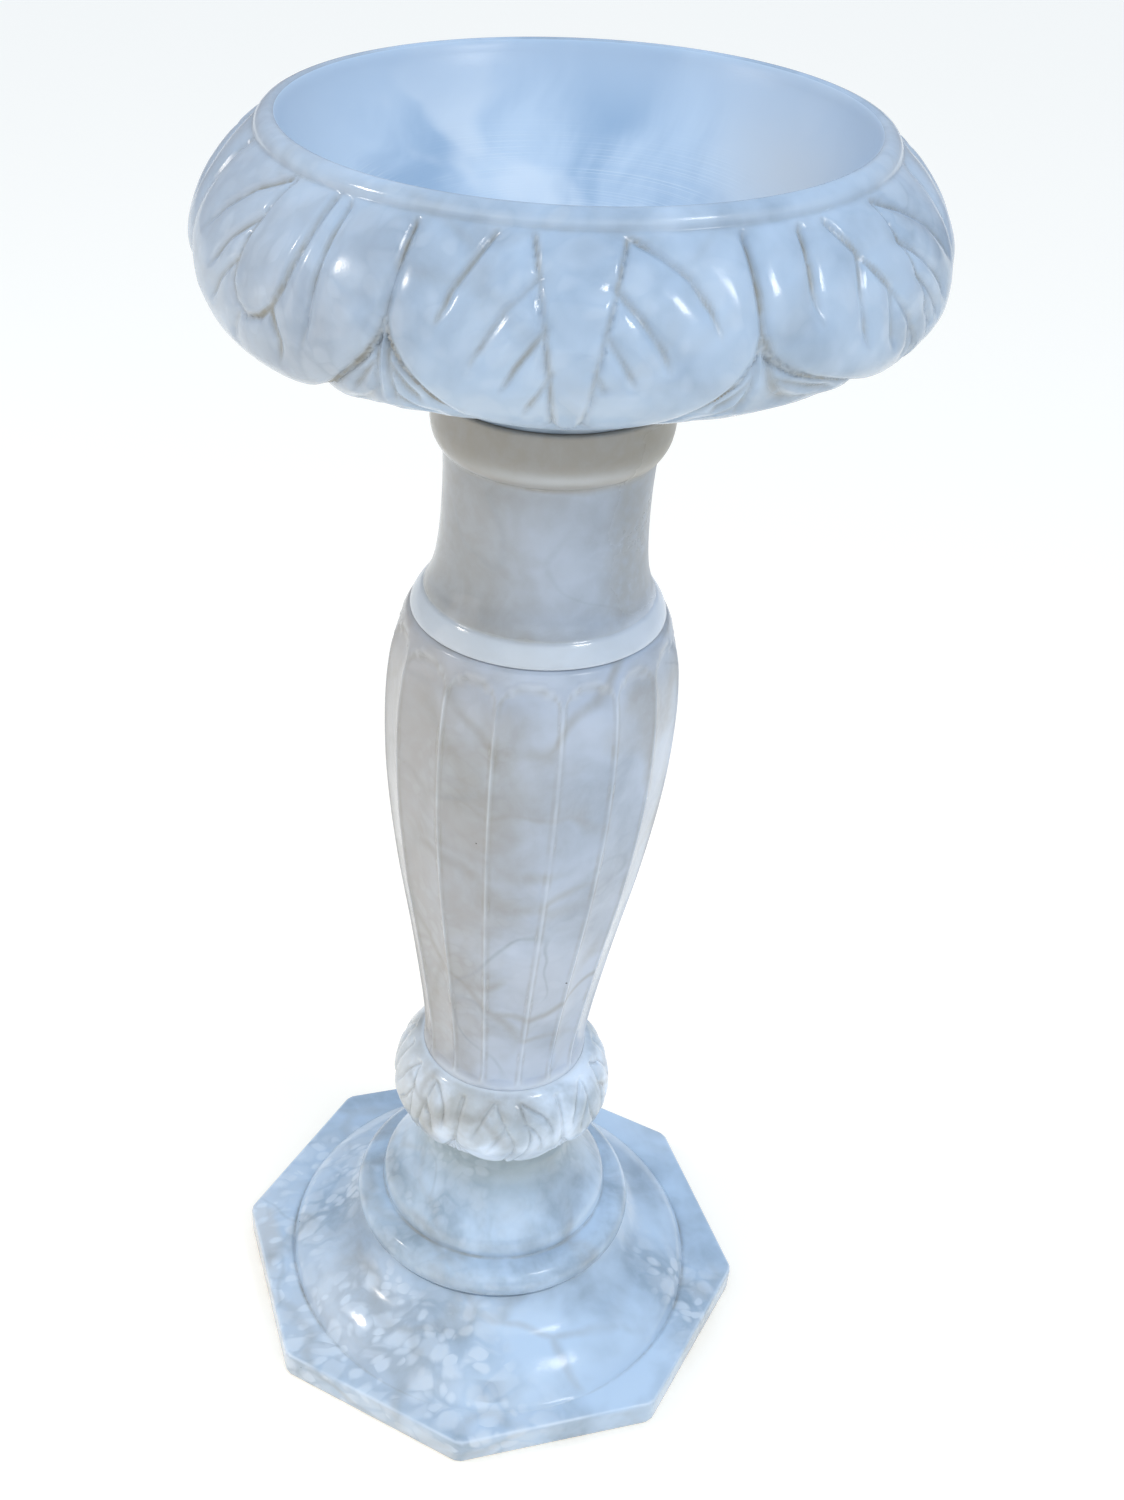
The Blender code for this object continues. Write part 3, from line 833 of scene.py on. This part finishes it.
def nodules(graph, vector, scale, ragged):
    """Separate soft milky lumps of mixed size, with outlines that the noise ragged breaks up."""
    cell = graph.cells(scale, vector)
    distance = graph.maths("ADD", cell.outputs["Distance"], product(graph, ragged, 0.7))
    distance = graph.maths("ADD", distance, product(graph, cell.outputs["Color"], 0.35))
    return graph.step(distance, 0.72, 0.98, 1.0, 0.0)


def soft_veins(graph, vector, scale, width):
    """Blurred bands between large rounded patches, broken up so that few of them close."""
    edge = graph.cells(scale, vector, "DISTANCE_TO_EDGE").outputs["Distance"]
    kept = graph.step(graph.noise(7.0, 2.0, vector), 0.42, 0.58)
    return product(graph, graph.step(edge, 0.0, width, 1.0, 0.0), kept)


def contour_lines(graph, vector, scale, width):
    """Thin curved lines where a slow noise crosses its middle."""
    field = graph.noise(scale, 2.0, vector, 0.4)
    away = graph.maths("ABSOLUTE", graph.maths("SUBTRACT", field, 0.5))
    return graph.step(away, 0.0, width, 1.0, 0.0)


def cracks(graph, scale, share, length):
    """Short dark hairline cracks: thin discs of random tilt, in the given share of cells."""
    cell = graph.cells(scale, graph.stone)
    local = graph.vector("SUBTRACT", graph.stone, cell.outputs["Position"])
    tilt = graph.vector("SUBTRACT", cell.outputs["Color"], (0.5, 0.5, 0.5))
    off_plane = graph.measure("DOT_PRODUCT", local, graph.vector("NORMALIZE", tilt))
    thin = graph.step(graph.maths("ABSOLUTE", off_plane), 0.0003, 0.0007, 1.0, 0.0)
    short = graph.step(graph.measure("LENGTH", local), 0.6 * length, length, 1.0, 0.0)
    chosen = graph.maths("GREATER_THAN", cell.outputs["Color"], 1 - share)
    return product(graph, thin, short, chosen)


def pits(graph, scale):
    """A small dark hole in about a quarter of the cells."""
    cell = graph.cells(scale, graph.stone)
    size = graph.step(cell.outputs["Color"], 0.72, 0.95, 0.0, 0.045)
    return graph.maths("LESS_THAN", cell.outputs["Distance"], size)


def tint_share(graph, cloud, swirled, warm_light_left, shade_above):
    """Where the warm tone lies: stain patches, painted warm light on the left, painted shade at the top.
    """
    tint = graph.step(graph.noise(3.2, 2.0, swirled), 0.5, 0.72, 0.0, 0.5)
    # Painted warm light over the left side
    if warm_light_left:
        low, high, strength = warm_light_left
        drift = product(graph, graph.maths("SUBTRACT", cloud, 0.5), 0.16)
        left = graph.maths("ADD", graph.along(FRONT_RIGHT), drift)
        tint = graph.maths("MAXIMUM", tint, graph.step(left, low, high, strength, 0.0))
    # Painted shade at the top: the collar's under the bowl, the dome's under the knop
    if shade_above:
        low, high, strength = shade_above
        rise = graph.maths("ADD", graph.along((0.0, 0.0, 1.0)), product(graph, cloud, 0.02))
        tint = graph.maths("MAXIMUM", tint, graph.step(rise, low, high, 0.0, strength))
    return tint


def add_lumps(graph, colour, swirled, rippled, cobble, vein):
    """Tan clouds, and clusters of milky lumps on a greyer ground, mostly on one side of the stone."""
    spread = graph.noise(6.5)
    toward = product(graph, graph.along(LUMPY_SIDE), 0.6)
    cluster = graph.step(graph.maths("ADD", spread, toward), 0.44, 0.6)
    squashed = graph.vector("MULTIPLY", rippled, (1.0, 1.5, 1.3))
    ragged = graph.noise(45.0, 3.0, rippled)
    large, small = (nodules(graph, squashed, scale, ragged) for scale in (34.0, 62.0))
    packing = product(graph, cobbles(graph, squashed, 40.0, 0.02), 0.6)
    lumps = graph.maths("MAXIMUM", packing, graph.maths("MAXIMUM", large, small))
    packed = product(graph, lumps, cluster, 0.62)
    tan_cloud = graph.step(graph.noise(6.0, 2.0, swirled), 0.52, 0.72, 0.0, 0.5 * vein)
    colour = graph.paint(VEIN_TAN, tan_cloud, colour)
    colour = graph.paint(VEIN_GREY, product(graph, cluster, 0.12 * cobble), colour)
    return graph.paint(LUMP_WHITE, product(graph, packed, cobble), colour)


def add_veins(graph, colour, vein):
    """Broad blurred tan veins and thin grey ones that fade in and out."""
    layered = graph.vector("MULTIPLY", graph.warped(graph.stone, 9.0, 0.13), (1.0, 1.0, 1.5))
    broad = product(graph, soft_veins(graph, layered, 10.0, 0.1), 0.65 * vein)
    colour = graph.paint(VEIN_TAN, broad, colour)
    thin = contour_lines(graph, graph.warped(graph.stone, 14.0, 0.03), 7.0, 0.01)
    fading = graph.step(graph.noise(11.0, 2.0), 0.45, 0.65, 0.0, 0.5)
    return graph.paint(VEIN_GREY, product(graph, thin, fading, vein), colour)


def add_grime_pits_and_painted_light(graph, colour, grime_and_shade, holes):
    """Speckled grime and painted shade in the creases, painted highlights with some wear on edges and
    lips, and dark pits and cracks.
    """
    # Grime and painted shade in the creases
    darkening = product(graph, grime_and_shade, graph.step(graph.noise(160.0), 0.25, 0.6, 0.4, 0.85))
    colour = graph.paint(GRIME_AND_SHADE, darkening, colour)
    # Painted highlights, with some wear, along edges and lips
    colour = graph.paint(LUMP_WHITE, product(graph, graph.attribute(HIGHLIGHT_AND_WEAR), 0.75), colour)
    return graph.paint(PIT, product(graph, holes, 0.75), colour)


def polish(graph, colour, grime_and_shade, holes):
    """Finishes polished stone: slightly uneven gloss, slow waves, fine grain and sunken pits."""
    dulled = graph.noise(26.0, 4.0, graph.stone, 0.6)
    roughness = graph.step(dulled, 0.3, 0.75, 0.1, 0.24)
    roughness = graph.maths("ADD", roughness, product(graph, grime_and_shade, 0.3))
    waves = product(graph, graph.noise(55.0, 2.0, graph.stone, 0.4), 0.8)
    grain = product(graph, graph.noise(900.0, 2.0), 0.05)
    height = graph.maths("SUBTRACT", graph.maths("ADD", waves, grain), product(graph, holes, 0.8))
    set_translucency(graph.shader)
    return graph.finish(colour, roughness, height, 0.0005)


def alabaster(name, offset, tones, clouds, cobble, vein, warm_light_left=None, shade_above=None):
    """Polished alabaster: cloudy translucent ground, milky patches, soft veins, pits, grime, painted shade
    and painted highlights.

    tones are the ground, the milky clouds and a warm tone as sRGB bytes; the warm tone is laid in stain
    patches and as painted light and shade. clouds is the clouds' scale, and cobble and vein are strengths
    from 0 to 1. The argument after vein paints warm light over the left side: it is the two places, in
    metres to the right of the axis, between which that light fades out, and its strength. The last
    argument paints shade at the top: it is the two heights between which that shade fades in, and its
    strength.
    """
    ground, milk, warm = tones
    graph = Graph("alabaster_" + name, offset)
    swirled = graph.warped(graph.stone, 8.0, 0.05)
    rippled = graph.warped(swirled, 34.0, 0.016)
    cloud = graph.noise(clouds, 4.0, swirled, 0.55)
    colour = graph.blend(graph.step(cloud, 0.36, 0.64), shade(*ground), shade(*milk))
    # The warm tone: stain patches, painted warm light on the left and painted shade at the top
    tint = tint_share(graph, cloud, swirled, warm_light_left, shade_above)
    colour = graph.paint(warm, tint, colour)
    colour = add_lumps(graph, colour, swirled, rippled, cobble, vein)
    colour = add_veins(graph, colour, vein)

    untinted = graph.maths("SUBTRACT", 1.0, product(graph, tint, 0.75))
    mottle = graph.step(graph.noise(85.0, 4.0, rippled, 0.6), 0.35, 0.7, 0.0, 0.22)
    colour = graph.paint(milk, product(graph, mottle, untinted), colour)
    grime_and_shade = graph.attribute(CREASE)
    holes = graph.maths("MAXIMUM", pits(graph, 38.0), cracks(graph, 17.0, 0.16 * cobble, 0.02))
    colour = add_grime_pits_and_painted_light(graph, colour, grime_and_shade, holes)
    return polish(graph, colour, grime_and_shade, holes)


def worn_metal(name, colour, tarnish, roughness):
    graph = Graph(name)
    tint = graph.step(graph.noise(90.0, 5.0, graph.stone, 0.65), 0.42, 0.68)
    base = graph.paint(tarnish, product(graph, tint, 0.7), shade(*colour))
    scratches = graph.noise(1.0, 3.0, graph.vector("MULTIPLY", graph.place, (900.0, 900.0, 60.0)))
    rough = graph.maths("ADD", product(graph, tint, 0.3), roughness)
    graph.shader.inputs["Metallic"].default_value = 1.0
    return graph.finish(base, rough, scratches, 0.0002)


def mortar(name):
    graph = Graph(name)
    lumps = graph.noise(300.0, 4.0, graph.stone, 0.7)
    base = graph.blend(graph.step(lumps, 0.3, 0.7), shade(*MORTAR_DARK), shade(*MORTAR_PALE))
    sand = graph.cells(700.0, graph.stone).outputs["Distance"]
    rough = graph.step(lumps, 0.2, 0.8, 0.8, 0.95)
    return graph.finish(base, rough, graph.maths("ADD", lumps, sand), 0.0006)


# ---------------- scene


def plain_material(name, colour):
    material = bpy.data.materials.new(name)
    material.use_nodes = True
    shader = material.node_tree.nodes["Principled BSDF"]
    shader.inputs["Base Color"].default_value = (*colour, 1.0)
    shader.inputs["Roughness"].default_value = 0.6
    shader.inputs["Emission Color"].default_value = FLOOR_GLOW
    shader.inputs["Emission Strength"].default_value = 1.0
    return material


def basin_material():
    """The inside of the bowl: cloudy bands across it, and fine rings left by the turning tool."""
    graph = Graph("alabaster_basin", (0.4, 0.1, 0.0))
    swirled = graph.warped(graph.stone, 7.0, 0.09)
    turned = graph.add("ShaderNodeVectorRotate", {"Vector": swirled, "Angle": math.radians(-50)})
    stretched = graph.vector("MULTIPLY", turned.outputs[0], (4.0, 15.0, 6.0))
    band = graph.noise(1.0, 5.0, stretched, 0.5)
    colour = graph.blend(graph.step(band, 0.4, 0.62), shade(*BASIN_GROUND), shade(*BASIN_MILK))
    blot = graph.step(graph.noise(11.0, 3.0, swirled), 0.58, 0.68, 0.0, 0.55)
    colour = graph.paint(LUMP_WHITE, blot, colour)
    drift = product(graph, graph.noise(9.0, 3.0), 0.06)
    right = graph.maths("ADD", graph.along(FRONT_RIGHT), drift)
    colour = graph.paint(BASIN_STAIN, graph.step(right, 0.10, 0.16, 0.0, 0.5), colour)
    radius = graph.measure("LENGTH", graph.vector("MULTIPLY", graph.place, (1, 1, 0)))
    colour = graph.paint(BLUE_MILK, graph.step(radius, 0.12, 0.151, 0.0, 0.75), colour)
    wobble = product(graph, graph.noise(5.0, 1.0), 0.012)
    turning = graph.add("ShaderNodeCombineXYZ", {"X": graph.maths("ADD", radius, wobble)})
    rings = graph.noise(900.0, 2.0, turning.outputs[0], 0.6)
    patchy = graph.step(graph.noise(14.0, 2.0), 0.4, 0.6, 0.1, 1.0)
    show = product(graph, patchy, graph.step(radius, 0.1, 0.135, 1.0, 0.0))
    marks = product(graph, graph.step(rings, 0.45, 0.7), show)
    colour = graph.paint(LUMP_WHITE, product(graph, marks, 0.45), colour)
    roughness = graph.step(band, 0.3, 0.7, 0.28, 0.38)
    set_translucency(graph.shader)
    return graph.finish(colour, roughness, product(graph, rings, show), 0.0003)


def set_translucency(shader):
    shader.inputs["Subsurface Weight"].default_value = TRANSLUCENCY
    shader.inputs["Subsurface Radius"].default_value = SCATTER_COLOUR
    shader.inputs["Subsurface Scale"].default_value = SCATTER_DEPTH
    shader.inputs["IOR"].default_value = STONE_IOR


def stone_materials():
    """Each stone's alabaster, by the name of its CAD node."""
    # Painted warm light on each stone's left, and painted shade at the tops of the neck, under the bowl,
    # and of the dome, under the knop
    left = {
        "bowl": (-0.15, -0.05, 0.5),
        "neck": (-0.055, 0.035, 0.6),
        "shaft": (-0.075, 0.03, 0.9),
        "knop": (-0.06, 0.0, 0.5),
        "plinth": (-0.185, -0.16, 0.6),
    }
    collar, bell = (0.726, 0.738, 0.85), (0.13, 0.2, 1.0)
    return {
        "bowl": alabaster("bowl", (0, 0, 0), BLUE, 13.0, 0.25, 0.25, left["bowl"]),
        "neck": alabaster("neck", (1.3, 0.2, 0.6), TAN, 8.0, 0.0, 0.3, left["neck"], collar),
        "shaft": alabaster("shaft", (2.1, 0.7, 0.1), PALE, 9.0, 0.15, 0.8, left["shaft"]),
        "leaf_knop": alabaster("knop", (0.5, 1.1, 0.9), CREAM, 24.0, 0.4, 0.8, left["knop"]),
        "foot_dome": alabaster("dome", (3.2, 0.4, 0.3), DOME, 18.0, 0.35, 0.5, None, bell),
        "plinth": alabaster("plinth", (0.7, 2.9, 0.2), BASE, 10.0, 1.0, 0.45, left["plinth"]),
    }


def paint_basin(bowl):
    """Gives the faces of the basin the second material."""
    bowl.data.materials.append(basin_material())
    for face in bowl.data.polygons:
        x, y, z = face.center
        if math.hypot(x, y) < BASIN_MOUTH and z > BASIN_FLOOR:
            face.material_index = 1


def finish_cad_nodes(nodes):
    """Worn metal and mortar for the CAD nodes that stay in view."""
    steel = worn_metal("worn_steel", *STEEL, 0.38)
    brass = worn_metal("worn_brass", *BRASS, 0.32)
    compound = mortar("setting_mortar")
    kinds = {"bed": compound, "bush": brass}
    for name, node in nodes.items():
        if node.hide_render:
            continue
        material = kinds.get(name.split("_")[-1], steel)
        for index in range(len(node.data.materials)):
            node.material_slots[index].link = "OBJECT"
            node.material_slots[index].material = material


def add_camera():
    data = bpy.data.cameras.new("camera")
    data.lens = CAMERA_LENS
    data.sensor_width = CAMERA_SENSOR
    data.shift_x, data.shift_y = CAMERA_SHIFT
    camera = new_object("camera", data)
    turn = Matrix.Rotation(math.radians(CAMERA_HEADING), 4, "Z")
    tilt = Matrix.Rotation(math.radians(90 + CAMERA_TILT), 4, "X")
    roll = Matrix.Rotation(math.radians(CAMERA_ROLL), 4, "Z")
    camera.matrix_world = Matrix.Translation(CAMERA_PLACE) @ turn @ tilt @ roll
    bpy.context.scene.camera = camera


def add_area_light(name, bearing, elevation, distance, width, height, radiance, colour):
    """A soft light facing the middle of the font. bearing is degrees to the right of the camera."""
    data = bpy.data.lights.new(name, "AREA")
    data.shape = "RECTANGLE"
    data.size, data.size_y = width, height
    data.energy = radiance * math.pi * width * height
    data.color = colour
    light = new_object(name, data)
    azimuth, lift = math.radians(CAMERA_AZIMUTH + bearing), math.radians(elevation)
    level = math.cos(lift)
    away = Vector((math.cos(azimuth) * level, math.sin(azimuth) * level, math.sin(lift)))
    light.location = Vector(LIGHT_AIM) + away * distance
    light.rotation_euler = (-away).to_track_quat("-Z", "Y").to_euler()


def add_sky():
    """Bluish overhead and neutral towards the horizon."""
    world = bpy.data.worlds.new("studio")
    world.use_nodes = True
    nodes, links = world.node_tree.nodes, world.node_tree.links
    direction = nodes.new("ShaderNodeTexCoord")
    split = nodes.new("ShaderNodeSeparateXYZ")
    rise = nodes.new("ShaderNodeMapRange")
    rise.inputs["From Max"].default_value = 0.9
    mix = nodes.new("ShaderNodeMix")
    mix.data_type = "RGBA"
    mix.inputs["A"].default_value = HORIZON
    mix.inputs["B"].default_value = OVERHEAD
    links.new(direction.outputs["Generated"], split.inputs[0])
    links.new(split.outputs["Z"], rise.inputs["Value"])
    links.new(rise.outputs["Result"], mix.inputs["Factor"])
    links.new(mix.outputs["Result"], nodes["Background"].inputs["Color"])
    bpy.context.scene.world = world


def add_floor():
    mesh = bpy.data.meshes.new("floor")
    reach = FLOOR_REACH
    corners = [(-reach, -reach, 0), (reach, -reach, 0), (reach, reach, 0), (-reach, reach, 0)]
    mesh.from_pydata(corners, [], [(0, 1, 2, 3)])
    floor = new_object("floor", mesh)
    floor.data.materials.append(plain_material("pale_floor", FLOOR))


def add_stage():
    add_sky()
    add_floor()
    for name, settings in LIGHTS.items():
        add_area_light(name, *settings)
    bpy.context.scene.view_settings.view_transform = "Standard"


def main():
    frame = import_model()
    stones = {
        "bowl": (bowl_piece, "bowl", "alabaster_bowl"),
        "neck": (neck_piece, "pedestal", "alabaster_shaft"),
        "shaft": (shaft_piece, "pedestal", "alabaster_shaft"),
        "leaf_knop": (knop_piece, "pedestal", "alabaster_knop"),
        "foot_dome": (foot_piece, "pedestal", "alabaster_base"),
        "plinth": (plinth_piece, "pedestal", "alabaster_base"),
    }
    materials = stone_materials()
    for node, (build, body, slot) in stones.items():
        piece = build()
        piece.data.materials.append(materials[node])
        if node == "bowl":
            paint_basin(piece)
        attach(piece, body)
        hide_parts(node)
    finish_cad_nodes(frame["nodes"])
    add_stage()
    add_camera()


main()
